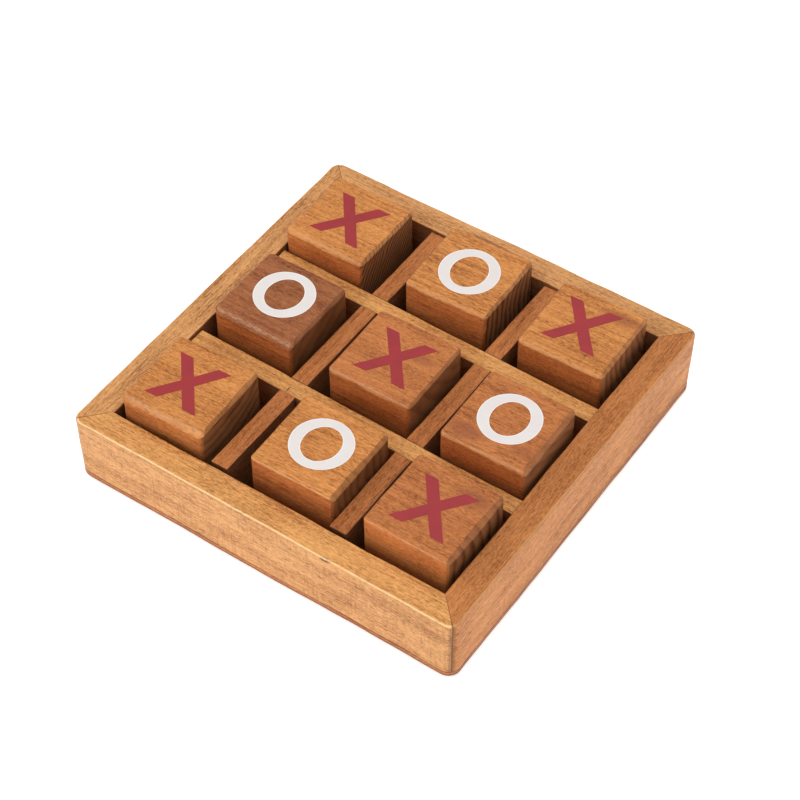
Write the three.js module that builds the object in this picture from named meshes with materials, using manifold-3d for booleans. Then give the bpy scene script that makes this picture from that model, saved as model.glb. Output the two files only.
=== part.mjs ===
import * as THREE from 'three';
import { ConvexGeometry } from 'three/addons/geometries/ConvexGeometry.js';
import { mergeVertices } from 'three/addons/utils/BufferGeometryUtils.js';
import Module from 'manifold-3d';

// A wooden tic tac toe set: a square tray with nine wells, and nine loose printed blocks.
// Sizes are millimetres and +Z is up. The origin is under the middle of the tray, on the
// surface it stands on. +X runs along the front rail, +Y from the front rail to the back rail.

const wasm = await Module();
wasm.setup();

// Tray: four rails of one moulding, mitred and glued on a thin panel
const TRAY_HALF = 70;
const TRAY_TOP = 25.5;
const PANEL_THICKNESS = 3;
const RAIL_WIDTH = 9.5;
const OPENING_HALF = TRAY_HALF - RAIL_WIDTH;
const CORNER_RADIUS = 2;
const FOOT_CORNER_RADIUS = 3;
const OUTER_EASE = 0.5;
const OUTER_SHOULDER = 0.15;
const INNER_EASE = 0.3;
const FOOT_EASE = 0.7;

// Dividers: two long ones from the left rail to the right rail, glued in a little out of
// square, and three short ones in each of the two lines that cross them
const DIVIDER_WIDTH = 6;
const DIVIDER_TOP = 24.5;
const DIVIDER_EASE = 0.35;
const LONG_DIVIDER_Y = { front: -21, back: 22.5 };
const LONG_DIVIDER_SKEW = -1.5;
const SHORT_DIVIDER_X = { left: -22, right: 21.5 };
const LEFT_RAIL_GAP = 0.3;
const FRONT_RAIL_GAP = 2;

// Blocks: cubes with hand-sanded edges. Each lies loose in its well. slide says where: -1 is
// against the left or front wall, 0 in the middle and 1 against the right or back wall. turn is
// in whole degrees, anticlockwise seen from above. cuts are the chamfers of its front and right
// top edges, and slip is how far its print is off the middle, both in millimetres.
const BLOCK_SIDE = 30;
const BLOCK_CORNER = 0.9;
const BLOCK_TOP_CORNER = 0.5;
const BLOCK_FOOT_EASE = 0.7;
const BLOCK_EASE = 0.5;
const WALL_CLEARANCE = 0.3;
const BLOCKS = [
  { place: 'front_left', mark: 'cross', slide: [-0.5, -0.5], turn: 2, cuts: [2, 1], slip: [-1, 0] },
  { place: 'front_middle', mark: 'ring', slide: [1, 0.5], turn: 1, cuts: [0.5, 1.5], slip: [0, 1] },
  { place: 'front_right', mark: 'cross', slide: [0.5, 0.5], turn: 0, cuts: [0.5, 1.5], slip: [0, 0] },
  { place: 'middle_left', mark: 'ring', slide: [0, 0], turn: 0, cuts: [2, 1], slip: [0, 2] },
  { place: 'centre', mark: 'cross', slide: [0.5, 0], turn: 1, cuts: [1, 1], slip: [0, 0] },
  { place: 'middle_right', mark: 'ring', slide: [0.5, -0.5], turn: 1, cuts: [1, 1.5], slip: [0, 1] },
  { place: 'back_left', mark: 'cross', slide: [-1, -0.5], turn: 0, cuts: [1.5, 1], slip: [0, 0] },
  { place: 'back_middle', mark: 'ring', slide: [0, 1], turn: 2, cuts: [1, 1], slip: [0, 0] },
  { place: 'back_right', mark: 'cross', slide: [0, 0.5], turn: 2, cuts: [1, 1], slip: [-1, 1] },
];

// Printed marks
const PRINT_THICKNESS = 0.12;
const CROSS_SIZE = 19;
const CROSS_STROKE = 4.7;
const RING_OUTER = { width: 20, height: 20 };
const RING_INNER = { width: 12, height: 14 };

// How finely round edges are divided into straight steps
const TRAY_CORNER_STEPS = 6;
const BLOCK_CORNER_STEPS = 4;
const BLOCK_TOP_CORNER_STEPS = 3;
const RING_STEPS = 56;

const FINISHES = {
  panel: { color: 0xa87a4c, roughness: 0.7 },
  rail: { color: 0xd9a566, roughness: 0.55 },
  longDivider: { color: 0xd6a05c, roughness: 0.6 },
  shortDivider: { color: 0xbd7f4c, roughness: 0.6 },
  block: { color: 0xc98a52, roughness: 0.45 },
  darkBlock: { color: 0xa9694a, roughness: 0.45 },
  cross: { color: 0xb53a45, roughness: 0.5 },
  ring: { color: 0xebe4e0, roughness: 0.5 },
};

const group = new THREE.Group();
group.name = 'tic_tac_toe_set';

function addMesh(name, geometry, finish) {
  const material = new THREE.MeshStandardMaterial({ ...finish, metalness: 0, flatShading: true });
  material.name = name;
  const mesh = new THREE.Mesh(geometry, material);
  mesh.name = name;
  group.add(mesh);
  return mesh;
}

// The smallest convex body round some points
function hull(points) {
  const geometry = new ConvexGeometry(points.map((point) => new THREE.Vector3(...point)));
  geometry.deleteAttribute('normal');
  return mergeVertices(geometry);
}

function solidFrom(geometry) {
  const vertProperties = Float32Array.from(geometry.attributes.position.array);
  const triVerts = Uint32Array.from(geometry.index.array);
  return new wasm.Manifold(new wasm.Mesh({ numProp: 3, vertProperties, triVerts }));
}

// The body that two others have in common
function overlapOf(first, second) {
  const { vertProperties, triVerts } = solidFrom(first).intersect(solidFrom(second)).getMesh();
  const geometry = new THREE.BufferGeometry();
  geometry.setAttribute('position', new THREE.Float32BufferAttribute(vertProperties, 3));
  geometry.setIndex(Array.from(triVerts));
  return geometry;
}

const atHeight = (outline, z) => outline.map(([x, y]) => [x, y, z]);

function arc([centreX, centreY], radius, fromDegrees, toDegrees, steps) {
  return Array.from({ length: steps + 1 }, (_, step) => {
    const angle = THREE.MathUtils.degToRad(fromDegrees + ((toDegrees - fromDegrees) * step) / steps);
    return [centreX + radius * Math.cos(angle), centreY + radius * Math.sin(angle)];
  });
}

function roundedSquare(half, radius) {
  const reach = half - radius;
  return [
    ...arc([-reach, -reach], radius, 180, 270, TRAY_CORNER_STEPS),
    ...arc([reach, -reach], radius, 270, 360, TRAY_CORNER_STEPS),
    ...arc([reach, reach], radius, 0, 90, TRAY_CORNER_STEPS),
    ...arc([-reach, reach], radius, 90, 180, TRAY_CORNER_STEPS),
  ];
}

function basePanel() {
  return hull([
    ...atHeight(roundedSquare(TRAY_HALF - FOOT_EASE, FOOT_CORNER_RADIUS), 0),
    ...atHeight(roundedSquare(TRAY_HALF, FOOT_CORNER_RADIUS), FOOT_EASE),
    ...atHeight(roundedSquare(TRAY_HALF, FOOT_CORNER_RADIUS), PANEL_THICKNESS),
  ]);
}

// One rail: the stretch of the rounded frame between the mitre lines, which run from the
// sharp corners of the tray to the corners of the opening.
function rail(side) {
  const cornersOf = (half) => ({
    front: [[-half, -half], [half, -half]],
    right: [[half, -half], [half, half]],
    back: [[half, half], [-half, half]],
    left: [[-half, half], [-half, -half]],
  })[side];
  const outer = cornersOf(TRAY_HALF);
  const inner = cornersOf(OPENING_HALF);
  const eased = cornersOf(OPENING_HALF + INNER_EASE);
  const wedge = hull([
    ...atHeight([...outer, ...inner], PANEL_THICKNESS),
    ...atHeight([...outer, ...inner], TRAY_TOP - INNER_EASE),
    ...atHeight([...outer, ...eased], TRAY_TOP),
  ]);
  const frame = hull([
    ...atHeight(roundedSquare(TRAY_HALF, FOOT_CORNER_RADIUS), PANEL_THICKNESS),
    ...atHeight(roundedSquare(TRAY_HALF, CORNER_RADIUS), TRAY_TOP - OUTER_EASE),
    ...atHeight(roundedSquare(TRAY_HALF - OUTER_SHOULDER, CORNER_RADIUS), TRAY_TOP - OUTER_SHOULDER),
    ...atHeight(roundedSquare(TRAY_HALF - OUTER_EASE, CORNER_RADIUS), TRAY_TOP),
  ]);
  return overlapOf(frame, wedge);
}

// A strip of wood standing on the base panel. Its plan is four corners, counted
// anticlockwise from the front left one, and its top edges and both ends are eased.
function divider(plan) {
  const towardsMiddle = [[1, 1], [-1, 1], [-1, -1], [1, -1]];
  const eased = plan.map(([x, y], corner) => [
    x + DIVIDER_EASE * towardsMiddle[corner][0],
    y + DIVIDER_EASE * towardsMiddle[corner][1],
  ]);
  return hull([
    ...atHeight(plan, PANEL_THICKNESS),
    ...atHeight(plan, DIVIDER_TOP - DIVIDER_EASE),
    ...atHeight(eased, DIVIDER_TOP),
  ]);
}

// The y of a long divider's front (face = -1) or back (face = 1) side, at a given x
function longDividerFace(name, face, x) {
  const skew = (LONG_DIVIDER_SKEW * x) / (2 * OPENING_HALF);
  return LONG_DIVIDER_Y[name] + skew + (face * DIVIDER_WIDTH) / 2;
}

// The walls in front of and behind each row of wells, at a given x
const ROWS = {
  front: { near: () => -OPENING_HALF, far: (x) => longDividerFace('front', -1, x) },
  middle: { near: (x) => longDividerFace('front', 1, x), far: (x) => longDividerFace('back', -1, x) },
  back: { near: (x) => longDividerFace('back', 1, x), far: () => OPENING_HALF },
};
const COLUMNS = {
  left: [-OPENING_HALF, SHORT_DIVIDER_X.left - DIVIDER_WIDTH / 2],
  middle: [SHORT_DIVIDER_X.left + DIVIDER_WIDTH / 2, SHORT_DIVIDER_X.right - DIVIDER_WIDTH / 2],
  right: [SHORT_DIVIDER_X.right + DIVIDER_WIDTH / 2, OPENING_HALF],
};

function addDividers() {
  const ends = [-OPENING_HALF + LEFT_RAIL_GAP, OPENING_HALF];
  for (const name of Object.keys(LONG_DIVIDER_Y)) {
    const plan = [
      ...ends.map((x) => [x, longDividerFace(name, -1, x)]),
      ...ends.toReversed().map((x) => [x, longDividerFace(name, 1, x)]),
    ];
    addMesh(`long_divider_${name}`, divider(plan), FINISHES.longDivider);
  }
  for (const [side, middle] of Object.entries(SHORT_DIVIDER_X)) {
    const faces = [middle - DIVIDER_WIDTH / 2, middle + DIVIDER_WIDTH / 2];
    for (const [row, { near, far }] of Object.entries(ROWS)) {
      const gap = row === 'front' ? FRONT_RAIL_GAP : 0;
      const plan = [
        ...faces.map((x) => [x, near(x) + gap]),
        ...faces.toReversed().map((x) => [x, far(x)]),
      ];
      addMesh(`short_divider_${row}_${side}`, divider(plan), FINISHES.shortDivider);
    }
  }
}

// The middle of a block that lies in its well as slide says
function blockCentre(place, [slideX, slideY], turn) {
  const [row, column] = place === 'centre' ? ['middle', 'middle'] : place.split('_');
  const [left, right] = COLUMNS[column];
  const front = Math.max(ROWS[row].near(left), ROWS[row].near(right));
  const back = Math.min(ROWS[row].far(left), ROWS[row].far(right));
  const reach = (BLOCK_SIDE / 2) * (Math.cos(turn) + Math.sin(turn)) + WALL_CLEARANCE;
  return [
    (left + right) / 2 + slideX * ((right - left) / 2 - reach),
    (front + back) / 2 + slideY * ((back - front) / 2 - reach),
  ];
}

// A block: a square prism with rounded upright edges, whose four top chamfers
// have their own sizes and blend into each other round the corners.
function block([front, right]) {
  const half = BLOCK_SIDE / 2;
  const back = BLOCK_EASE;
  const left = BLOCK_EASE;
  const reach = half - BLOCK_CORNER;
  const corners = [
    { sign: [-1, -1], from: 180, cuts: [left, front] },
    { sign: [1, -1], from: 270, cuts: [front, right] },
    { sign: [1, 1], from: 0, cuts: [right, back] },
    { sign: [-1, 1], from: 90, cuts: [back, left] },
  ];
  const points = [];
  for (const { sign, from, cuts } of corners) {
    const centre = [sign[0] * reach, sign[1] * reach];
    const edge = arc(centre, BLOCK_CORNER, from, from + 90, BLOCK_CORNER_STEPS);
    const foot = edge
      .map(([x, y]) => [x - sign[0] * BLOCK_FOOT_EASE, y - sign[1] * BLOCK_FOOT_EASE]);
    points.push(...atHeight(foot, 0), ...atHeight(edge, BLOCK_FOOT_EASE));
    edge.forEach(([x, y], step) => {
      const cut = THREE.MathUtils.lerp(cuts[0], cuts[1], step / BLOCK_CORNER_STEPS);
      points.push([x, y, BLOCK_SIDE - cut]);
    });
    const sideCuts = sign[0] * sign[1] > 0 ? [cuts[0], cuts[1]] : [cuts[1], cuts[0]];
    const topCentre = [
      sign[0] * (half - sideCuts[0] - BLOCK_TOP_CORNER),
      sign[1] * (half - sideCuts[1] - BLOCK_TOP_CORNER),
    ];
    const topEdge = arc(topCentre, BLOCK_TOP_CORNER, from, from + 90, BLOCK_TOP_CORNER_STEPS);
    points.push(...atHeight(topEdge, BLOCK_SIDE));
  }
  return hull(points);
}

// An X with square-cut feet: both strokes end on the lines of the letter's top and bottom
function crossShape() {
  const outer = CROSS_SIZE / 2;
  const inner = outer - CROSS_STROKE;
  const notchX = CROSS_STROKE / 2;
  const notchY = (notchX * CROSS_SIZE) / (CROSS_SIZE - CROSS_STROKE);
  return new THREE.Shape([
    [-outer, -outer], [-inner, -outer], [0, -notchY], [inner, -outer], [outer, -outer], [notchX, 0],
    [outer, outer], [inner, outer], [0, notchY], [-inner, outer], [-outer, outer], [-notchX, 0],
  ].map(([x, y]) => new THREE.Vector2(x, y)));
}

function ellipsePoints({ width, height }) {
  return Array.from({ length: RING_STEPS }, (_, step) => {
    const angle = (2 * Math.PI * step) / RING_STEPS;
    return new THREE.Vector2((width / 2) * Math.cos(angle), (height / 2) * Math.sin(angle));
  });
}

function ringShape() {
  const shape = new THREE.Shape(ellipsePoints(RING_OUTER));
  shape.holes.push(new THREE.Path(ellipsePoints(RING_INNER)));
  return shape;
}

// Every mark is a printed film lying on the top face of its block
function markGeometry(mark, [slipX, slipY]) {
  const shape = mark === 'cross' ? crossShape() : ringShape();
  const geometry = new THREE.ExtrudeGeometry(shape, { depth: PRINT_THICKNESS, bevelEnabled: false });
  geometry.deleteAttribute('uv');
  geometry.translate(slipX, slipY, BLOCK_SIDE);
  return geometry;
}

function addBlocks() {
  for (const { place, mark, slide, turn: degrees, cuts, slip } of BLOCKS) {
    const turn = THREE.MathUtils.degToRad(degrees);
    const blockFinish = place === 'middle_left' ? FINISHES.darkBlock : FINISHES.block;
    const pieces = [
      addMesh(`block_${place}`, block(cuts), blockFinish),
      addMesh(`${mark}_${place}`, markGeometry(mark, slip), FINISHES[mark]),
    ];
    for (const piece of pieces) {
      piece.rotation.z = turn;
      piece.position.set(...blockCentre(place, slide, turn), PANEL_THICKNESS);
    }
  }
}

addMesh('base_panel', basePanel(), FINISHES.panel);
for (const side of ['front', 'right', 'back', 'left']) {
  addMesh(`${side}_rail`, rail(side), FINISHES.rail);
}
addDividers();
addBlocks();

export default group;
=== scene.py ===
"""Looks of the wooden tic tac toe set: a stained tray with nine wells and nine printed blocks.

Every piece is rebuilt here as a hand-sanded piece of wood in the place of its CAD node. Sizes in
this file are millimetres until a mesh is made, and each piece's own x axis runs along its grain.
"""

import math

import bpy
import numpy as np
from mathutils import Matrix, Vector, noise


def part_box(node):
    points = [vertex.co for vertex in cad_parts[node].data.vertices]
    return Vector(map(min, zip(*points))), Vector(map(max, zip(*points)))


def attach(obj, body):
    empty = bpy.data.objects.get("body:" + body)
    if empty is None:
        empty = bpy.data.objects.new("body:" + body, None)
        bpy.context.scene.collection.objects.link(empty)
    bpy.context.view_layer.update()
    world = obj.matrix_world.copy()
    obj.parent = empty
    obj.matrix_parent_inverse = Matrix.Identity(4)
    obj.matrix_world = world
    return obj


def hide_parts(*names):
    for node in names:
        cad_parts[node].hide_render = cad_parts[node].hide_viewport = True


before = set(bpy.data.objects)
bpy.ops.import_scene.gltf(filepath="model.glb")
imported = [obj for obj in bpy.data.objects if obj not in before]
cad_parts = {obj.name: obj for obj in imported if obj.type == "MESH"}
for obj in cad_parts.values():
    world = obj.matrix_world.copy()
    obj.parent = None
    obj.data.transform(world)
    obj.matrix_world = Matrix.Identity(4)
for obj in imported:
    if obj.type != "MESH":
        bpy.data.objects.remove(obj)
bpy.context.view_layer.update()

MM = 0.001

# ---------------------------------------------------------------- camera, as in the photograph

VIEW_TARGET = Vector((-4.2, 11.4, 0.0))
VIEW_AZIMUTH = math.radians(34.41)
VIEW_ELEVATION = math.radians(48.57)
VIEW_DISTANCE = 711.4
LENS = 99.6
SENSOR = 36.0

# ---------------------------------------------------------------- sizes that are not in the boxes

TRAY_CORNER_RADIUS = 3.4
TRAY_FOOT_CORNER_RADIUS = 4.2
RAIL_TOP_ROUNDING = 0.7
RAIL_INNER_ROUNDING = 0.3
JOINT_EASE = 0.12
SANDING_ROOM = 0.15
RAIL_FOOT_EASE = 0.02
PANEL_FOOT_ROUNDING = 1.2
DIVIDER_ROUNDING = 0.35
DIVIDER_CORNER_RADIUS = 0.35
DIVIDER_FOOT_EASE = 0.05
BLOCK_CORNER_RADIUS = 1.5
BLOCK_TOP_CORNER_RADIUS = 1.2
BLOCK_FOOT_ROUNDING = 0.7

PRINT_THICKNESS = 0.07
PRINT_DEPTH = 0.06
CROSS_STROKE = 4.7
RING_BAND = (4.0, 3.0)

# How many steps the sides of an outline are divided into, along and across the grain
PANEL_STEPS = (100, 100)
RAIL_STEPS = (190, 190)
BLOCK_STEPS = (30, 30)
MITRE_STEPS = 12
TOP_EDGE_STEPS = 8
FOOT_EDGE_STEPS = 5
CROSS_CELLS = 8
RING_STEPS = 96
SHARP_ANGLE = math.radians(35)


def srgb(red, green, blue):
    """A colour given as 0 to 255 screen values, as the linear RGBA that a socket takes."""
    def linear(value):
        value /= 255
        return value / 12.92 if value <= 0.04045 else ((value + 0.055) / 1.055) ** 2.4
    return (linear(red), linear(green), linear(blue), 1.0)


# ---------------------------------------------------------------- outlines

def unit(vector):
    return vector / np.linalg.norm(vector)


def half_corner(corner, other, along, radius, steps):
    """The half of a rounded corner that runs from its middle to the side that goes to `along`."""
    towards_other = unit(other - corner)
    towards_along = unit(along - corner)
    half_angle = math.acos(float(np.clip(towards_other @ towards_along, -1, 1))) / 2
    inwards = unit(towards_other + towards_along)
    centre = corner + inwards * radius / math.sin(half_angle)
    middle = -inwards * radius
    tangent = corner + towards_along * radius / math.tan(half_angle) - centre
    sweep = math.atan2(middle[0] * tangent[1] - middle[1] * tangent[0], middle @ tangent)
    angles = np.linspace(0, sweep, steps + 1)
    return np.array([
        centre + [
            middle[0] * math.cos(angle) - middle[1] * math.sin(angle),
            middle[0] * math.sin(angle) + middle[1] * math.cos(angle),
        ]
        for angle in angles
    ])


def denser_at_ends(count):
    """count + 1 shares from 0 to 1 that lie closer together near both ends."""
    share = np.linspace(0, 1, count + 1)
    return share - 0.125 * np.sin(2 * math.pi * share)


def straight(start, end, count):
    return start + denser_at_ends(count)[:, None] * (end - start)


def rounded_sides(corners, radius, counts, steps=4):
    """The four sides of a rounded quadrilateral, each from the middle of one corner to the next."""
    corners = [np.array(corner, float) for corner in corners]
    sides = []
    for i, corner in enumerate(corners):
        before, after, beyond = corners[i - 1], corners[(i + 1) % 4], corners[(i + 2) % 4]
        first = half_corner(corner, before, after, radius, steps)
        last = half_corner(after, beyond, corner, radius, steps)[::-1]
        middle = straight(first[-1], last[0], counts[i % 2])[1:-1]
        sides.append(np.vstack([first, middle, last]))
    return sides


def loop_of(sides):
    """One closed loop of points from four sides that share their end points."""
    return np.vstack([side[:-1] for side in sides])


def rectangle(left, right, front, back):
    return [(left, front), (right, front), (right, back), (left, back)]


# ---------------------------------------------------------------- solids from stacked outlines

def rounding(power, steps):
    """(inset, drop) shares over an edge: power 1 is a straight chamfer and 2 a round edge."""
    angles = np.linspace(0, math.pi / 2, steps + 1)
    return [
        (1 - max(math.cos(a), 0.0) ** (2 / power), 1 - max(math.sin(a), 0.0) ** (2 / power))
        for a in angles
    ]


FOOT_POWER = 1.8


class Solid:
    """A closed body: loops from foot to top over a four-sided outline, with a grid on each end.

    wall, low_wall, top and foot are outlines with equal counts: the upper and lower end of the
    upright faces, the top face and the foot. uneven is (share, size, seed) of how much the width
    of the top edge comes and goes.
    """

    def __init__(self, wall, top, foot, z_foot, z_top, top_cut, foot_cut, wall_steps,
                 low_wall=None, top_power=1.4, uneven=(0.0, 8.0, 0)):
        self.side_counts = [len(side) - 1 for side in wall]
        wall_loop, top_loop, foot_loop = loop_of(wall), loop_of(top), loop_of(foot)
        low_loop = loop_of(low_wall) if low_wall else wall_loop
        count = len(wall_loop)
        variation, size, seed = uneven
        width = np.array([1 + variation * noise.noise(Vector((x / size, y / size, 7.7 * seed)))
                          for x, y in wall_loop])
        top_cut = np.broadcast_to(top_cut, count) * width
        top_loop = wall_loop + (top_loop - wall_loop) * width[:, None]
        levels = []
        edge_share = []
        for inset, drop in rounding(FOOT_POWER, FOOT_EDGE_STEPS)[::-1]:
            xy = low_loop + inset * (foot_loop - low_loop)
            levels.append(np.column_stack([xy, np.full(count, z_foot + foot_cut * drop)]))
            edge_share.append(0.0)
        low, high = z_foot + foot_cut, z_top - top_cut
        for share in denser_at_ends(wall_steps)[1:-1]:
            xy = wall_loop + (1 - share) ** 2 * (low_loop - wall_loop)
            levels.append(np.column_stack([xy, low + share * (high - low)]))
            edge_share.append(0.0)
        for inset, drop in rounding(top_power, TOP_EDGE_STEPS):
            xy = wall_loop + inset * (top_loop - wall_loop)
            levels.append(np.column_stack([xy, z_top - top_cut * drop]))
            edge_share.append(math.sin(math.pi * inset) if 0 < inset < 1 else 0.0)
        self.points = np.vstack(levels)
        self.loop_size, self.levels = count, len(levels)
        self.edge_share = np.repeat(edge_share, count)
        self.faces = []
        for level in range(len(levels) - 1):
            for j in range(count):
                k = (j + 1) % count
                low, high = level * count, (level + 1) * count
                self.faces.append((low + j, low + k, high + k, high + j))
        self._cap((len(levels) - 1) * count, upward=True)
        self._cap(0, upward=False)

    def _cap(self, first, upward):
        """Fills a loop with a grid whose inner points are blended from its four sides."""
        across, deep = self.side_counts[0], self.side_counts[1]
        corner = np.cumsum([0] + self.side_counts)
        total = corner[-1]
        index = np.zeros((across + 1, deep + 1), int)
        index[:, 0] = first + np.arange(corner[0], corner[1] + 1)
        index[-1, :] = first + np.arange(corner[1], corner[2] + 1)
        index[:, -1] = first + np.arange(corner[2], corner[3] + 1)[::-1]
        index[0, :] = first + (np.arange(corner[3], corner[4] + 1) % total)[::-1]
        front, right, back, left = (
            self.points[index[:, 0]], self.points[index[-1, :]],
            self.points[index[:, -1]], self.points[index[0, :]],
        )
        u = np.linspace(0, 1, across + 1)[1:-1, None, None]
        v = np.linspace(0, 1, deep + 1)[None, 1:-1, None]
        rails = (1 - v) * front[1:-1, None] + v * back[1:-1, None]
        stiles = (1 - u) * left[None, 1:-1] + u * right[None, 1:-1]
        corners = (
            (1 - u) * (1 - v) * front[0] + u * (1 - v) * front[-1]
            + (1 - u) * v * back[0] + u * v * back[-1]
        )
        inner = (rails + stiles - corners).reshape(-1, 3)
        index[1:-1, 1:-1] = len(self.points) + np.arange(len(inner)).reshape(across - 1, deep - 1)
        self.points = np.vstack([self.points, inner])
        self.edge_share = np.append(self.edge_share, np.zeros(len(inner)))
        for i in range(across):
            for j in range(deep):
                quad = (index[i, j], index[i + 1, j], index[i + 1, j + 1], index[i, j + 1])
                self.faces.append(quad if upward else quad[::-1])


# noise.noise gives the same value in every run, which noise.noise_vector doesn't
NOISE_AXES = [Vector((0.0, 0.0, 0.0)), Vector((31.4, 7.1, 12.9)), Vector((5.3, 43.7, 26.1))]


def sanded(points, swells, seed):
    """Moves points by smooth noise, as sanding by hand does. swells is a list of (size, reach)."""
    moved = np.array(points, float)
    for number, (size, reach) in enumerate(swells):
        offset = Vector((17.3 * seed + 5.1 * number, 3.7 * seed, 9.1 * number - 2.3 * seed))
        for row, point in enumerate(points):
            place = Vector(point) / size + offset
            moved[row] += [reach * noise.noise(place + axis) for axis in NOISE_AXES]
    return moved


def make_object(name, points, faces, material, attributes=None, location=(0, 0, 0), turn=0.0):
    """An object from local millimetre points, put in place in the frame."""
    mesh = bpy.data.meshes.new(name)
    mesh.from_pydata((np.asarray(points) * MM).tolist(), [], [list(map(int, f)) for f in faces])
    mesh.materials.append(material)
    mesh.polygons.foreach_set("use_smooth", [True] * len(mesh.polygons))
    for attribute, values in (attributes or {}).items():
        layer = mesh.attributes.new(attribute, "FLOAT", "POINT")
        layer.data.foreach_set("value", np.asarray(values, np.float32))
    mesh.update()
    mesh.set_sharp_from_angle(angle=SHARP_ANGLE)
    piece = bpy.data.objects.new(name, mesh)
    bpy.context.scene.collection.objects.link(piece)
    piece.location = Vector(location) * MM
    piece.rotation_euler.z = turn
    return piece


def install(piece, node, body):
    """Lets a piece stand for its CAD node and move with that node's body."""
    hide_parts(node)
    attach(piece, body)


def rotated(points, angle):
    """Points turned about the z axis."""
    points = np.asarray(points, float)
    cos, sin = math.cos(angle), math.sin(angle)
    turned = points.copy()
    turned[:, 0] = cos * points[:, 0] - sin * points[:, 1]
    turned[:, 1] = sin * points[:, 0] + cos * points[:, 1]
    return turned


# ---------------------------------------------------------------- shader building

class Shader:
    """One material; each method adds a node and gives back the socket with its result."""

    def __init__(self, name):
        self.material = bpy.data.materials.new(name)
        self.material.use_nodes = True
        self.tree = self.material.node_tree
        self.surface = self.tree.nodes["Principled BSDF"]

    def feed(self, socket, value):
        if isinstance(value, bpy.types.NodeSocket):
            self.tree.links.new(value, socket)
        else:
            socket.default_value = value

    def add(self, kind, inputs, **settings):
        node = self.tree.nodes.new(kind)
        for key, value in settings.items():
            setattr(node, key, value)
        for key, value in inputs.items():
            self.feed(node.inputs[key], value)
        return node

    def math(self, operation, *values):
        inputs = dict(enumerate(values))
        return self.add("ShaderNodeMath", inputs, operation=operation).outputs[0]

    def vector(self, operation, *values):
        inputs = dict(enumerate(values))
        return self.add("ShaderNodeVectorMath", inputs, operation=operation).outputs["Vector"]

    def coordinates(self, output="Object"):
        return self.add("ShaderNodeTexCoord", {}).outputs[output]

    def attribute(self, name):
        return self.add("ShaderNodeAttribute", {}, attribute_name=name).outputs["Fac"]

    def parts(self, vector):
        return self.add("ShaderNodeSeparateXYZ", {0: vector}).outputs

    def noise(self, vector, stretch, detail=3.0, roughness=0.55, output="Fac"):
        """Noise over a millimetre vector; stretch is the size of its grains along x, y and z."""
        scaled = self.vector("DIVIDE", vector, stretch)
        inputs = {"Vector": scaled, "Scale": 1.0, "Detail": detail, "Roughness": roughness}
        return self.add("ShaderNodeTexNoise", inputs).outputs[output]

    def ease(self, value, low, high, to_low=0.0, to_high=1.0):
        """A smooth step from to_low to to_high as value goes from low to high."""
        inputs = {"Value": value, "From Min": low, "From Max": high,
                  "To Min": to_low, "To Max": to_high}
        node = self.add("ShaderNodeMapRange", inputs, interpolation_type="SMOOTHSTEP")
        return node.outputs["Result"]

    def ramp(self, value, stops):
        node = self.add("ShaderNodeValToRGB", {0: value})
        elements = node.color_ramp.elements
        while len(elements) < len(stops):
            elements.new(0.5)
        for element, (position, colour) in zip(elements, stops):
            element.position = position
            element.color = colour
        return node.outputs["Color"]

    def mix(self, factor, first, second, blend="MIX"):
        node = self.tree.nodes.new("ShaderNodeMix")
        node.data_type = "RGBA"
        node.blend_type = blend
        self.feed(node.inputs["Factor"], factor)
        self.feed(node.inputs[6], first)
        self.feed(node.inputs[7], second)
        return node.outputs[2]

    def bump(self, height, strength, depth):
        inputs = {"Height": height, "Strength": strength, "Distance": depth * MM}
        return self.add("ShaderNodeBump", inputs).outputs["Normal"]


def weighted_sum(shader, terms, start):
    """start plus every (weight x (value - middle)) of terms."""
    total = start
    for value, middle, weight in terms:
        part = shader.math("MULTIPLY_ADD", value, weight, -middle * weight)
        total = shader.math("ADD", part, total)
    return total


def shades(red, green, blue):
    """The colours of one wood from its lightest to its darkest fibres, round a middle colour."""
    middle = srgb(red, green, blue)
    steps = [(0.0, (1.36, 1.44, 1.56)), (0.45, (1.0, 1.0, 1.0)), (0.75, (0.68, 0.56, 0.46)),
             (1.0, (0.40, 0.27, 0.20))]
    return [
        (position, tuple(m * f for m, f in zip(middle, factors)) + (1.0,))
        for position, factors in steps
    ]


# How strongly the fibres, longer streaks, patches, growth rings and pores change the tone
FIBRE = 2.9
STREAK = 1.3
MOTTLE = 0.75
RING_ON_SIDE = 0.12
PORE = 0.3

WOOD_ROUGHNESS = 0.5
WORN_ROUGHNESS = 0.3
VARNISH = 0.03
JOINT_COLOUR = (84, 46, 30)


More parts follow.
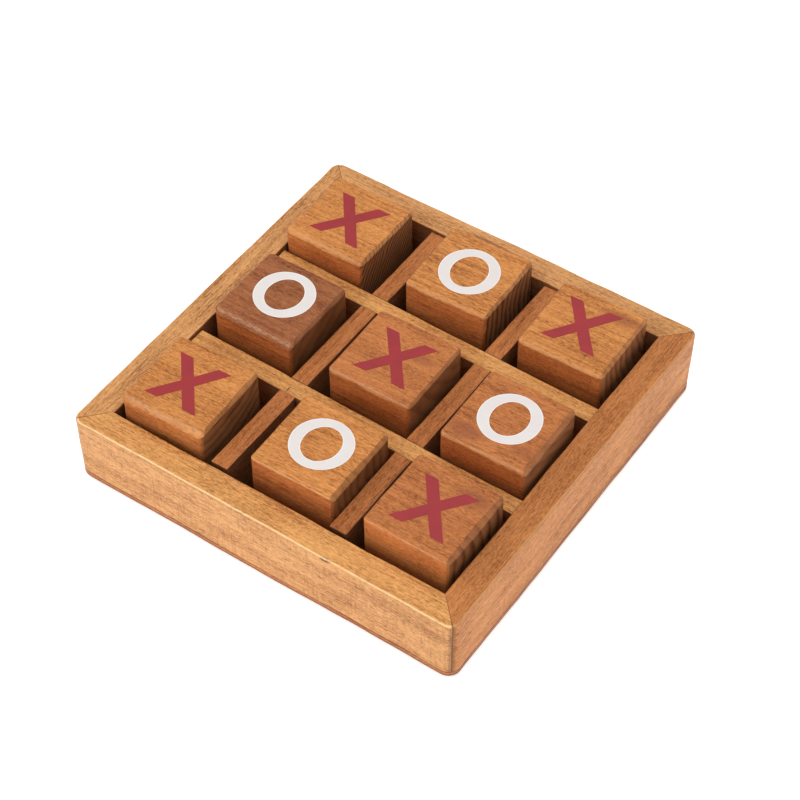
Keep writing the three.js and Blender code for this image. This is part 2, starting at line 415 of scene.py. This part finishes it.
def wood(name, colours, seed, pith=(60.0, -40.0), ring=2.6, ring_on_end=0.35, inner=None,
         wear=0.0, wear_colour=(240, 205, 155), stains=(), saw_marks=0.0, joint=0.0, plies=None):
    """Stained wood with its grain along x.

    colours are the middle colours of the top face, of the upright faces along the grain and of
    the end grain. inner is a painted shade colour for the upright faces that look to +y, the
    walls round the wells. pith is where the growth rings centre, across and up, and ring is their
    spacing, in millimetres. wear, saw_marks and joint are strengths from 0 to 1; the first gives
    the top edges a pale colour, partly from use and partly a painted highlight.
    """
    top, upright, end = colours
    shader = Shader(name)
    local = shader.vector("SCALE", shader.coordinates())
    local.node.inputs["Scale"].default_value = 1 / MM
    place = shader.vector("ADD", local, (31.7 * seed, 17.9 * seed, 23.3 * seed))

    # Growth rings round the pith, which lies outside the piece
    wander = shader.vector("SUBTRACT", shader.noise(place, (60, 14, 14), 2, output="Color"),
                           (0.5, 0.5, 0.5))
    wander = shader.vector("MULTIPLY", wander, (0.0, 7.0, 7.0))
    _, across, up = shader.parts(shader.vector("ADD", local, wander))
    from_pith = shader.math("SQRT", shader.math(
        "ADD",
        shader.math("POWER", shader.math("SUBTRACT", across, pith[0]), 2.0),
        shader.math("POWER", shader.math("SUBTRACT", up, pith[1]), 2.0)))
    phase = shader.math("FRACT", shader.math("DIVIDE", from_pith, ring))
    late = shader.math("MULTIPLY", shader.ease(phase, 0.25, 0.85), shader.ease(phase, 1.0, 0.9))

    # Fibres, longer streaks, open pores and uneven stain
    fine = shader.noise(place, (1.7, 0.34, 0.34), 5, 0.8)
    long_streaks = shader.noise(place, (26.0, 0.9, 0.9), 5, 0.7)
    patches = shader.noise(place, (20.0, 9.0, 9.0), 3, 0.5)
    pores = shader.ease(shader.noise(place, (1.9, 0.2, 0.2), 1, 0.4), 0.62, 0.72)
    side_tone = weighted_sum(shader, [
        (fine, 0.5, FIBRE), (long_streaks, 0.5, STREAK), (patches, 0.5, MOTTLE),
        (late, 0.3, RING_ON_SIDE), (pores, 0.1, PORE),
    ], 0.42)
    end_tone = weighted_sum(shader, [
        (late, 0.35, ring_on_end), (fine, 0.5, 0.9), (patches, 0.5, 0.8),
    ], 0.45)

    # The top, the upright faces and the end grain take the stain differently
    normal_x, normal_y, normal_z = shader.parts(shader.coordinates("Normal"))
    standing = shader.ease(normal_z, 0.6, 0.3)
    facing_end = shader.math("ABSOLUTE", normal_x)
    end_grain = shader.math("ADD", shader.ease(facing_end, 0.38, 0.6, 0.0, 0.5),
                            shader.ease(facing_end, 0.8, 0.95, 0.0, 0.5))
    colour = shader.mix(standing, shader.ramp(side_tone, shades(*top)),
                        shader.ramp(side_tone, shades(*upright)))
    # Upright faces that look to +y, the walls round the wells, take a painted shade colour
    if inner:
        colour = shader.mix(shader.ease(normal_y, 0.5, 0.85), colour,
                            shader.ramp(side_tone, shades(*inner)))
    if saw_marks:
        cuts = shader.noise(place, (0.5, 30.0, 8.0), 3, 0.65)
        blotches = shader.noise(place, (6.0, 30.0, 3.5), 3, 0.6)
        marked = shader.math("MULTIPLY", shader.ease(cuts, 0.45, 0.75),
                             shader.ease(blotches, 0.35, 0.65))
        shade = shader.math("MULTIPLY", standing, shader.math("MULTIPLY", marked, saw_marks))
        colour = shader.mix(shade, colour, shades(*upright)[-1][1])
    colour = shader.mix(end_grain, colour, shader.ramp(end_tone, shades(*end)))

    # Marks and stains at their own places: (centre, reach, colour, strength)
    for centre, reach, stain_colour, strength in stains:
        offset = shader.vector("DIVIDE", shader.vector("SUBTRACT", local, centre), reach)
        distance = shader.add("ShaderNodeVectorMath", {0: offset}, operation="LENGTH")
        ragged = weighted_sum(shader, [(long_streaks, 0.5, 1.1), (fine, 0.5, 0.7)],
                              distance.outputs["Value"])
        mask = shader.math("MULTIPLY", shader.ease(ragged, 1.0, 0.35), strength)
        colour = shader.mix(mask, colour, srgb(*stain_colour))

    # The sheets of the plywood show as lines round its edge: (height, half width, colour,
    # strength)
    if plies:
        level = weighted_sum(shader, [(long_streaks, 0.5, 0.6)], shader.parts(local)[2])
        for height, half_width, ply_colour, strength in plies:
            away = shader.math("ABSOLUTE", shader.math("SUBTRACT", level, height))
            line = shader.math("MULTIPLY", shader.ease(away, half_width, half_width * 0.4),
                               shader.math("MULTIPLY", standing, strength))
            colour = shader.mix(line, colour, srgb(*ply_colour))

    # Top edges made pale, partly rubbed by sanding and hands and partly a painted highlight, and the
    # dark line of a glued joint
    if wear:
        scuff_and_highlight = weighted_sum(shader, [(long_streaks, 0.5, 0.8), (fine, 0.5, 4.6)],
                             shader.attribute("edge"))
        wear_and_highlight_mask = shader.math("MULTIPLY", shader.ease(scuff_and_highlight, 0.45, 1.4), wear)
        colour = shader.mix(wear_and_highlight_mask, colour, srgb(*wear_colour))
    if joint:
        line = shader.math("MULTIPLY", shader.ease(shader.attribute("joint"), 0.35, 0.9), joint)
        colour = shader.mix(line, colour, srgb(*JOINT_COLOUR))

    shader.feed(shader.surface.inputs["Base Color"], colour)
    roughness = weighted_sum(shader, [(fine, 0.5, 0.35), (patches, 0.5, 0.15), (pores, 0.1, 0.2)],
                             WOOD_ROUGHNESS)
    if wear:
        roughness = shader.math("MULTIPLY_ADD", wear_and_highlight_mask, WORN_ROUGHNESS, roughness)
    shader.feed(shader.surface.inputs["Roughness"], roughness)
    relief = weighted_sum(shader, [(fine, 0.5, -1.0), (pores, 0.1, -1.0), (late, 0.3, 0.25)], 0.5)
    shader.feed(shader.surface.inputs["Normal"], shader.bump(relief, 0.85, 0.12))
    shader.surface.inputs["Specular IOR Level"].default_value = 0.22
    shader.surface.inputs["Coat Weight"].default_value = VARNISH
    shader.surface.inputs["Coat Roughness"].default_value = 0.3
    return shader.material


def ink(name, colour, shade, seed, rim_colour=None):
    """Screen-printed ink that lets a little of the grain under it show as texture."""
    shader = Shader(name)
    local = shader.vector("SCALE", shader.coordinates())
    local.node.inputs["Scale"].default_value = 1 / MM
    place = shader.vector("ADD", local, (13.1 * seed, 7.7 * seed, 0.0))
    grain = shader.noise(place, (4.0, 0.35, 0.35), 4, 0.6)
    cloud = shader.noise(place, (7.0, 7.0, 7.0), 2, 0.5)
    tone = weighted_sum(shader, [(grain, 0.5, 0.9), (cloud, 0.5, 0.8)], 0.4)
    painted = shader.ramp(tone, [(0.0, colour), (1.0, shade)])
    if rim_colour:
        painted = shader.mix(shader.ease(shader.attribute("rim"), 0.2, 1.0), painted, rim_colour)
    shader.feed(shader.surface.inputs["Base Color"], painted)
    shader.feed(shader.surface.inputs["Roughness"],
                weighted_sum(shader, [(grain, 0.5, 0.2)], 0.45))
    shader.feed(shader.surface.inputs["Normal"], shader.bump(grain, 0.35, 0.04))
    return shader.material


# ---------------------------------------------------------------- the tray

def node_points(node):
    """The CAD node's points, in millimetres."""
    return np.array([vertex.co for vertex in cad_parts[node].data.vertices]) / MM


def box_mm(node):
    low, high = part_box(node)
    return np.array(low) / MM, np.array(high) / MM


TRAY_HIGH = box_mm("base_panel")[1]
PANEL_TOP = TRAY_HIGH[2]
TRAY_HALF = TRAY_HIGH[0]
RAIL_TOP = box_mm("front_rail")[1][2]
OPENING = {
    "front": box_mm("front_rail")[1][1],
    "right": box_mm("right_rail")[0][0],
    "back": box_mm("back_rail")[0][1],
    "left": box_mm("left_rail")[1][0],
}
TRAY_SWELLS = [(34.0, 0.30), (9.0, 0.16)]
TRAY_SEED = 3
OUTLINE_HALF = TRAY_HALF - SANDING_ROOM

# The stained tones that the pieces share, and a painted shade tone for the insides of the wells
HONEY = (216, 152, 86)
STRAW = (208, 148, 90)
AMBER = (204, 132, 68)
CARAMEL = (188, 114, 60)
CHESTNUT = (188, 118, 62)
RUSSET = (158, 94, 54)
TOAST = (198, 118, 62)
COPPER = (184, 106, 54)
WALNUT = (144, 94, 58)
COCOA = (128, 82, 48)
# A painted shade: the darker tone given to the well floors, the dividers' sides and the rails' inner
# walls, where shade falls in the wells
PAINTED_WELL_SHADE = (142, 92, 58)
RED_STAIN = (146, 78, 50)
DARK_MARK = (82, 50, 40)

# The tones of each piece: its top, its upright faces and its end grain; the panel's top and the
# dividers' upright faces take the painted well shade
WOODS = {
    "base_panel": (PAINTED_WELL_SHADE, CARAMEL, CARAMEL),
    "front_rail": (HONEY, STRAW, COCOA),
    "right_rail": (CHESTNUT, AMBER, COCOA),
    "back_rail": (STRAW, STRAW, COCOA),
    "left_rail": (STRAW, STRAW, COCOA),
    "long_divider": (HONEY, PAINTED_WELL_SHADE, COCOA),
    "short_divider": (CARAMEL, PAINTED_WELL_SHADE, COCOA),
    "front_left": (AMBER, CARAMEL, WALNUT),
    "front_middle": (AMBER, COPPER, COCOA),
    "front_right": (CARAMEL, TOAST, COCOA),
    "middle_left": (RUSSET, COPPER, COCOA),
    "centre": (CARAMEL, COPPER, WALNUT),
    "middle_right": (CARAMEL, COPPER, WALNUT),
    "back_left": (AMBER, TOAST, WALNUT),
    "back_middle": (AMBER, TOAST, WALNUT),
    "back_right": (AMBER, COPPER, WALNUT),
}


def around_loop(solid, sides, values):
    """One value for each side of the outline, spread over all the points above one another."""
    along = np.concatenate([np.full(len(side) - 1, value) for side, value in zip(sides, values)])
    spread = np.zeros(len(solid.points))
    spread[:solid.levels * solid.loop_size] = np.tile(along, solid.levels)
    return spread


def square(half):
    return rectangle(-half, half, -half, half)


# Lines of the plywood as (height, half width, colour, strength)
PLIES = [
    (2.9, 0.4, (96, 60, 42), 0.95),
    (1.6, 0.4, (120, 78, 48), 0.7),
    (0.3, 0.7, (108, 70, 46), 0.85),
]


def build_base_panel():
    def plan(inset):
        return rounded_sides(square(OUTLINE_HALF - inset), TRAY_FOOT_CORNER_RADIUS, PANEL_STEPS)

    solid = Solid(
        plan(0.0), plan(JOINT_EASE), plan(PANEL_FOOT_ROUNDING), 0.0, PANEL_TOP, JOINT_EASE,
        PANEL_FOOT_ROUNDING, wall_steps=4)
    points = solid.points.copy()
    points[:, :2] = sanded(solid.points, TRAY_SWELLS, TRAY_SEED)[:, :2]
    material = wood("panel_wood", WOODS["base_panel"], seed=2, pith=(20, -200), ring=5.0,
                    plies=PLIES)
    piece = make_object("panel", points, solid.faces, material)
    install(piece, "base_panel", "tray")


# How pale the top edges of a rail are on the outer side, the right mitre, the inner side and the left
# mitre: rubbed by sanding and use, and on the outer edge, most of all on the front rail, partly a
# painted highlight
RAIL_EDGE_WEAR_AND_HIGHLIGHT = [1.6, 0.0, 0.4, 0.0]
RAIL_TURN = {"front": 0.0, "right": 90.0, "back": 180.0, "left": 270.0}


def build_rail(side, seed, **look):
    """A rail in its own frame: x runs along it and its outer face looks to -y."""
    turn = math.radians(RAIL_TURN[side])
    order = list(RAIL_TURN)
    here = order.index(side)
    before, after = order[here - 1], order[(here + 1) % 4]
    inner_y = -abs(OPENING[side])
    start, end = -abs(OPENING[before]), abs(OPENING[after])

    def plan(outer_inset, inner_inset, radius):
        outer = rounded_sides(square(OUTLINE_HALF - outer_inset), radius, RAIL_STEPS, steps=5)[0]
        inner_right = np.array([end + inner_inset, inner_y - inner_inset])
        inner_left = np.array([start - inner_inset, inner_y - inner_inset])
        return [
            outer,
            straight(outer[-1], inner_right, MITRE_STEPS),
            straight(inner_right, inner_left, len(outer) - 1),
            straight(inner_left, outer[0], MITRE_STEPS),
        ]

    wall = plan(0.0, 0.0, TRAY_CORNER_RADIUS)
    to_inner = np.linspace(RAIL_TOP_ROUNDING, RAIL_INNER_ROUNDING, MITRE_STEPS + 1)
    cuts = np.concatenate([
        np.full(len(wall[0]) - 1, RAIL_TOP_ROUNDING), to_inner[:-1],
        np.full(len(wall[2]) - 1, RAIL_INNER_ROUNDING), to_inner[:0:-1],
    ])
    solid = Solid(
        wall, plan(RAIL_TOP_ROUNDING, RAIL_INNER_ROUNDING, TRAY_CORNER_RADIUS),
        plan(JOINT_EASE, RAIL_FOOT_EASE, TRAY_FOOT_CORNER_RADIUS), PANEL_TOP, RAIL_TOP, cuts, JOINT_EASE,
        wall_steps=14, low_wall=plan(0.0, 0.0, TRAY_FOOT_CORNER_RADIUS), top_power=1.8)
    points = rotated(sanded(rotated(solid.points, turn), TRAY_SWELLS, TRAY_SEED), -turn)
    edge = solid.edge_share * around_loop(solid, wall, RAIL_EDGE_WEAR_AND_HIGHLIGHT)
    joint = around_loop(solid, wall, [0.0, 1.0, 0.0, 1.0])
    for corner in np.cumsum([0] + solid.side_counts[:-1]):
        joint[corner:solid.levels * solid.loop_size:solid.loop_size] = 1.0
    # The rail's inner walls, round the wells, take a painted shade colour
    material = wood(f"rail_wood_{side}", WOODS[f"{side}_rail"], seed, joint=0.65,
                    inner=PAINTED_WELL_SHADE, **look)
    piece = make_object(f"rail_{side}", points, solid.faces, material,
                        {"edge": edge, "joint": joint}, turn=turn)
    install(piece, f"{side}_rail", "tray")


DIVIDER_SWELLS = [(24.0, 0.16), (6.0, 0.08)]
# How worn the top edges are on the two long sides (first and third) and the two ends
DIVIDER_EDGE_WEAR = [0.8, 0.6, 0.8, 0.6]


def divider_plan(node):
    """The four foot corners of a divider, anticlockwise from the front left one."""
    points = node_points(node)
    foot = points[points[:, 2] < points[:, 2].min() + 0.01][:, :2]
    foot = np.unique(foot.round(3), axis=0)
    middle = foot.mean(axis=0)
    angle = np.arctan2(foot[:, 1] - middle[1], foot[:, 0] - middle[0])
    return foot[np.argsort(angle)]


def build_divider(node, colours, slot, seed, along_y, **look):
    low, high = box_mm(node)
    centre = np.array([(low[0] + high[0]) / 2, (low[1] + high[1]) / 2, 0.0])
    turn = math.radians(90.0) if along_y else 0.0
    corners = rotated(divider_plan(node) - centre[:2], -turn)
    corners = corners[np.argsort(np.arctan2(corners[:, 1], corners[:, 0]))]
    counts = (max(24, int(np.ptp(corners[:, 0]) / 0.9)), 7)

    def plan(inset):
        return rounded_sides(corners - inset * np.sign(corners), DIVIDER_CORNER_RADIUS, counts,
                             steps=2)

    wall = plan(0.0)
    solid = Solid(wall, plan(DIVIDER_ROUNDING), plan(DIVIDER_FOOT_EASE), PANEL_TOP, high[2],
                  DIVIDER_ROUNDING, DIVIDER_FOOT_EASE, wall_steps=14, top_power=1.6,
                  uneven=(0.6, 5.0, seed))
    moved = sanded(rotated(solid.points, turn) + centre, DIVIDER_SWELLS, TRAY_SEED)
    points = rotated(moved - centre, -turn)
    edge = solid.edge_share * around_loop(solid, wall, DIVIDER_EDGE_WEAR)
    material = wood(f"{node}_wood", colours, seed, **look)
    piece = make_object(f"bar_{node}", points, solid.faces, material, {"edge": edge},
                        location=centre, turn=turn)
    install(piece, node, "tray")


# ---------------------------------------------------------------- the blocks

# How each block was cut from its board: the pith of its rings, their spacing and how much
# they show on the end grain
BLOCK_GRAIN = {
    "front_left": ((-8.0, 52.0), 4.0, 0.45),
    "front_middle": ((70.0, 40.0), 3.5, 0.4),
    "front_right": ((-60.0, 20.0), 4.5, 0.6),
    "middle_left": ((40.0, -30.0), 5.5, 0.2),
    "centre": ((30.0, 60.0), 5.0, 0.25),
    "middle_right": ((-30.0, -50.0), 5.0, 0.25),
    "back_left": ((70.0, -26.0), 1.6, 1.0),
    "back_middle": ((60.0, 15.0), 3.0, 0.7),
    "back_right": ((55.0, 40.0), 3.5, 0.45),
}
# Redder patches on top, as (x, y, reach along the grain, reach across it, strength)
BLOCK_PATCHES = {
    "middle_right": [(-9.0, -10.0, 8.0, 4.0, 0.6), (10.0, -8.0, 5.0, 3.0, 0.4)],
    "front_right": [(8.0, 9.0, 8.0, 5.0, 0.5)],
    "back_right": [(8.0, 10.0, 9.0, 3.5, 0.6)],
    "centre": [(7.0, 4.0, 6.0, 3.0, 0.5)],
}
BLOCK_SWELLS = [(14.0, 0.10), (4.5, 0.05)]
# How pale the front, right, back and left top edges are: rubbed by use, and partly a painted highlight
# that makes the front edges, which face the front light, the palest
BLOCK_EDGE_WEAR_AND_HIGHLIGHT = [0.85, 0.3, 0.5, 0.5]


def block_turn(place):
    """The block's small turn about z: the direction of the largest upright face of its node."""
    upright = [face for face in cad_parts[f"block_{place}"].data.polygons
               if abs(face.normal.z) < 0.01]
    normal = max(upright, key=lambda face: face.area).normal
    quarter = math.pi / 2
    return (math.atan2(normal.y, normal.x) + quarter / 2) % quarter - quarter / 2


def build_block(number, place):
    turn = block_turn(place)
    points = node_points(f"block_{place}")
    low, high = points.min(axis=0), points.max(axis=0)
    centre = np.array([(low[0] + high[0]) / 2, (low[1] + high[1]) / 2, low[2]])
    local = rotated(points - centre, -turn)
    half, height = np.ptp(local[:, 0]) / 2, local[:, 2].max()
    flat = local[local[:, 2] > height - 0.01]
    left, front = flat.min(axis=0)[:2] + half
    right, back = half - flat.max(axis=0)[:2]
    cuts = (front, right, back, left)
    wall = rounded_sides(square(half), BLOCK_CORNER_RADIUS, BLOCK_STEPS)
    top = rounded_sides(
        rectangle(-half + left, half - right, -half + front, half - back),
        BLOCK_TOP_CORNER_RADIUS, BLOCK_STEPS)
    foot = rounded_sides(square(half - BLOCK_FOOT_ROUNDING), BLOCK_CORNER_RADIUS, BLOCK_STEPS)
    cut_around = []
    for i, side_points in enumerate(wall):
        here, before, after = cuts[i], cuts[i - 1], cuts[(i + 1) % 4]
        line = np.full(len(side_points) - 1, here, float)
        line[:4] = np.linspace((before + here) / 2, here, 4)
        line[-4:] = np.linspace(here, (after + here) / 2, 5)[:-1]
        cut_around.append(line)
    solid = Solid(wall, top, foot, 0.0, height, np.concatenate(cut_around),
                  BLOCK_FOOT_ROUNDING, wall_steps=24, top_power=1.15,
                  uneven=(0.5, 6.0, number + 1))
    edge = solid.edge_share * around_loop(solid, wall, BLOCK_EDGE_WEAR_AND_HIGHLIGHT)
    pith, ring, ring_on_end = BLOCK_GRAIN[place]
    stains = [((x, y, height), (along, across, 3.0), RED_STAIN, strength)
              for x, y, along, across, strength in BLOCK_PATCHES.get(place, [])]
    # The pale top edges are partly rubbed wood and partly a painted highlight
    material = wood(f"block_wood_{place}", WOODS[place], number + 20, pith=pith, ring=ring,
                    ring_on_end=ring_on_end, wear=0.75, wear_colour=(226, 180, 142), stains=stains)
    piece = make_object(
        f"cube_{place}", sanded(solid.points, BLOCK_SWELLS, number + 10), solid.faces, material,
        {"edge": edge}, location=centre, turn=turn)
    install(piece, f"block_{place}", f"{place}_block")
    build_mark(number, place, height, centre, turn)


def patch(corners, cells):
    """A grid of points over a four-cornered patch, and its faces."""
    a, b, c, d = (np.array(corner, float) for corner in corners)
    share = np.linspace(0, 1, cells + 1)
    points = [(1 - v) * ((1 - u) * a + u * b) + v * ((1 - u) * d + u * c)
              for v in share for u in share]
    row = cells + 1
    faces = [(j * row + i, j * row + i + 1, (j + 1) * row + i + 1, (j + 1) * row + i)
             for j in range(cells) for i in range(cells)]
    return points, faces


def cross_sheet(half):
    """An X of five patches: four arms and the middle where they cross."""
    inner = half - CROSS_STROKE
    notch_x = CROSS_STROKE / 2
    notch_y = notch_x * 2 * half / (2 * half - CROSS_STROKE)
    east, north, west, south = (notch_x, 0), (0, notch_y), (-notch_x, 0), (0, -notch_y)
    patches = [
        (east, (half, half), (inner, half), north),
        (north, (-inner, half), (-half, half), west),
        (west, (-half, -half), (-inner, -half), south),
        (south, (inner, -half), (half, -half), east),
        (west, south, east, north),
    ]
    index_of, faces = {}, []
    for corners in patches:
        patch_points, patch_faces = patch(corners, CROSS_CELLS)
        shared = [index_of.setdefault(tuple(point.round(4)), len(index_of))
                  for point in patch_points]
        faces += [tuple(shared[corner] for corner in face) for face in patch_faces]
    return np.array(list(index_of)), faces, np.zeros(len(index_of))


def ring_sheet(half):
    """A ring as bands from its outer to its inner edge, with a narrow rim on both edges."""
    bands = [(0.0, 1.0), (0.09, 0.3), (0.3, 0.0), (0.5, 0.0), (0.7, 0.0), (0.91, 0.3), (1.0, 1.0)]
    angles = 2 * math.pi * np.arange(RING_STEPS) / RING_STEPS
    points, faces, rims = [], [], []
    for share, rim in bands:
        width, height = (half - share * band for band in RING_BAND)
        points.append(np.column_stack([width * np.cos(angles), height * np.sin(angles)]))
        rims += [rim] * RING_STEPS
    for band in range(len(bands) - 1):
        for step in range(RING_STEPS):
            following = (step + 1) % RING_STEPS
            outer, inner = band * RING_STEPS, (band + 1) * RING_STEPS
            faces.append((outer + step, outer + following, inner + following, inner + step))
    return np.vstack(points), faces, np.array(rims)


def film_body(points, faces):
    """A closed film: the sheet raised, a copy of it sunk in the wood, and walls between them."""
    count = len(points)
    body = np.vstack([points + [0, 0, PRINT_THICKNESS], points - [0, 0, PRINT_DEPTH]])
    edges = [edge for face in faces for edge in zip(face, face[1:] + face[:1])]
    shared = set(edges)
    walls = [(a, a + count, b + count, b) for a, b in edges if (b, a) not in shared]
    underside = [tuple(index + count for index in face[::-1]) for face in faces]
    return body, faces + underside + walls


def build_mark(number, place, height, centre, turn):
    """The printed film: a thin closed sheet that follows the block's sanded top."""
    mark = "cross" if f"cross_{place}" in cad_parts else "ring"
    printed = rotated(node_points(f"{mark}_{place}") - centre, -turn)
    low, high = printed.min(axis=0)[:2], printed.max(axis=0)[:2]
    half = (high[0] - low[0]) / 2
    sheet, faces, rim = cross_sheet(half) if mark == "cross" else ring_sheet(half)
    flat = np.column_stack([sheet + (low + high) / 2, np.full(len(sheet), height)])
    points = sanded(flat, BLOCK_SWELLS, number + 10)
    if mark == "cross":
        material = ink(f"red_print_{place}", srgb(172, 38, 44), srgb(142, 32, 38), number)
    else:
        material = ink(f"white_print_{place}", srgb(238, 232, 229), srgb(224, 215, 210), number,
                       rim_colour=srgb(253, 251, 250))
    film, film_faces = film_body(points, faces)
    piece = make_object(f"{mark}_film_{place}", film, film_faces, material,
                        {"rim": np.tile(rim, 2)}, location=centre, turn=turn)
    install(piece, f"{mark}_{place}", f"{place}_block")


# ---------------------------------------------------------------- studio

FLOOR_SIZE = 6.0
FLOOR_TONE = (0.82, 0.82, 0.82, 1)
FLOOR_GLOW = 0.55
ROOM_LIGHT = 0.62


def build_stage():
    bpy.ops.mesh.primitive_plane_add(size=FLOOR_SIZE)
    floor = bpy.context.object
    floor.name = "studio_floor"
    shader = Shader("pale_floor")
    shader.surface.inputs["Base Color"].default_value = FLOOR_TONE
    shader.surface.inputs["Roughness"].default_value = 0.9
    shader.surface.inputs["Specular IOR Level"].default_value = 0.1
    shader.surface.inputs["Emission Color"].default_value = (1, 1, 1, 1)
    shader.surface.inputs["Emission Strength"].default_value = FLOOR_GLOW
    floor.data.materials.append(shader.material)


def add_softbox(name, direction, distance, size, power):
    """A square area light that looks at the middle of the tray from a direction."""
    light = bpy.data.lights.new(name, "AREA")
    light.size = size
    light.energy = power
    lamp = bpy.data.objects.new(name, light)
    bpy.context.scene.collection.objects.link(lamp)
    towards = Vector(direction).normalized()
    lamp.location = towards * distance
    lamp.rotation_euler = towards.to_track_quat("Z", "Y").to_euler()


def build_lights():
    world = bpy.data.worlds.new("soft_white_room")
    bpy.context.scene.world = world
    world.use_nodes = True
    background = world.node_tree.nodes["Background"]
    background.inputs["Color"].default_value = (1.0, 1.0, 1.0, 1)
    background.inputs["Strength"].default_value = ROOM_LIGHT
    add_softbox("front_left_softbox", direction=(-0.37, -0.75, 0.55), distance=1.1, size=0.9,
                power=4.0)
    add_softbox("overhead_softbox", direction=(0.1, 0.2, 1.0), distance=1.3, size=1.0, power=5.0)


def build_camera():
    towards = Vector((
        math.sin(VIEW_AZIMUTH) * math.cos(VIEW_ELEVATION),
        -math.cos(VIEW_AZIMUTH) * math.cos(VIEW_ELEVATION),
        math.sin(VIEW_ELEVATION),
    ))
    data = bpy.data.cameras.new("photo_camera")
    data.lens = LENS
    data.sensor_width = SENSOR
    camera = bpy.data.objects.new("photo_camera", data)
    bpy.context.scene.collection.objects.link(camera)
    camera.location = (VIEW_TARGET + towards * VIEW_DISTANCE) * MM
    camera.rotation_euler = towards.to_track_quat("Z", "Y").to_euler()
    bpy.context.scene.camera = camera


build_camera()
build_base_panel()
# The front rail's outer top edge is palest: rubbed, and partly a painted highlight from the front light
build_rail("front", 1, pith=(10, -70), ring=6.0, wear=0.9, wear_colour=(250, 214, 160),
           saw_marks=0.6, stains=[((25.0, -70.0, 25.0), (2.4, 1.4, 1.2), (132, 76, 48), 0.9)])
build_rail("right", 4, pith=(30, -60), ring=5.0, wear=0.3)
build_rail("back", 5, pith=(-20, -80), ring=5.0, wear=0.3,
           stains=[((6.0, -66.0, RAIL_TOP), (9.0, 0.8, 2.0), RED_STAIN, 0.7)])
build_rail("left", 6, pith=(40, -50), ring=5.0, wear=0.3,
           stains=[((34.0, -62.5, RAIL_TOP), (1.4, 0.6, 2.0), DARK_MARK, 0.9),
                   ((42.0, -66.0, RAIL_TOP), (7.0, 0.5, 2.0), RED_STAIN, 0.6)])
build_divider("long_divider_front", WOODS["long_divider"], "long_divider_wood", 7,
              along_y=False, wear=0.4,
              stains=[((-23.0, -1.2, 24.5), (0.4, 1.6, 1.0), DARK_MARK, 0.8)])
build_divider("long_divider_back", WOODS["long_divider"], "long_divider_wood", 8,
              along_y=False, wear=0.4)
for number, (side, row) in enumerate((side, row) for side in ("left", "right")
                                     for row in ("front", "middle", "back")):
    build_divider(f"short_divider_{row}_{side}", WOODS["short_divider"],
                  "short_divider_wood", 11 + number, along_y=True, wear=0.3)
for number, place in enumerate(BLOCK_GRAIN):
    build_block(number, place)
build_stage()
build_lights()
bpy.context.scene.view_settings.view_transform = "Standard"
